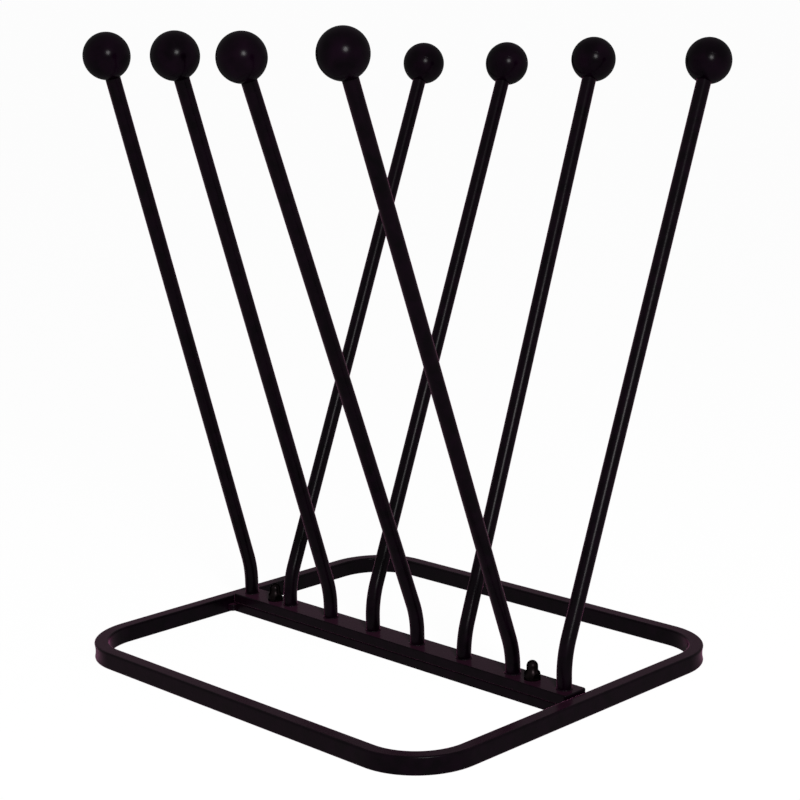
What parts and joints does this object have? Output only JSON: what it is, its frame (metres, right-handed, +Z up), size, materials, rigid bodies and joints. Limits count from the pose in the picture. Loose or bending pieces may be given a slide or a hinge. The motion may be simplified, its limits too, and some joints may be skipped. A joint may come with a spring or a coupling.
{
  "type": "boot rack",
  "caption": "Free-standing black steel boot rack: a bent bar loop on the floor, a cross bar and a row of rods that lean alternately to both sides, each with a ball knob.",
  "frame": {"origin": "on the floor, under the middle of the cross bar", "axes": "+Z up; +X along the cross bar and the rod bar; -Y the side that the odd-numbered rods lean to"},
  "size_m": [0.348, 0.3412, 0.4313],
  "materials": {
    "powder_coat": "satin black powder coat over steel bar",
    "knob_plastic": "moulded black plastic, soft gloss",
    "black_steel": "blackened steel, satin"
  },
  "bodies": {
    "root": {"base_frame": "powder_coat", "cross_bar": "powder_coat", "cross_bar_welds": "powder_coat", "rod_bar": "powder_coat", "rod_1": "powder_coat", "rod_2": "powder_coat", "rod_3": "powder_coat", "rod_4": "powder_coat", "rod_5": "powder_coat", "rod_6": "powder_coat", "rod_7": "powder_coat", "rod_8": "powder_coat", "rod_welds": "powder_coat", "knob_1": "knob_plastic", "knob_2": "knob_plastic", "knob_3": "knob_plastic", "knob_4": "knob_plastic", "knob_5": "knob_plastic", "knob_6": "knob_plastic", "knob_7": "knob_plastic", "knob_8": "knob_plastic", "clamp_screws": "black_steel", "clamp_washers": "black_steel", "dome_nuts": "black_steel"}
  },
  "joints": []
}
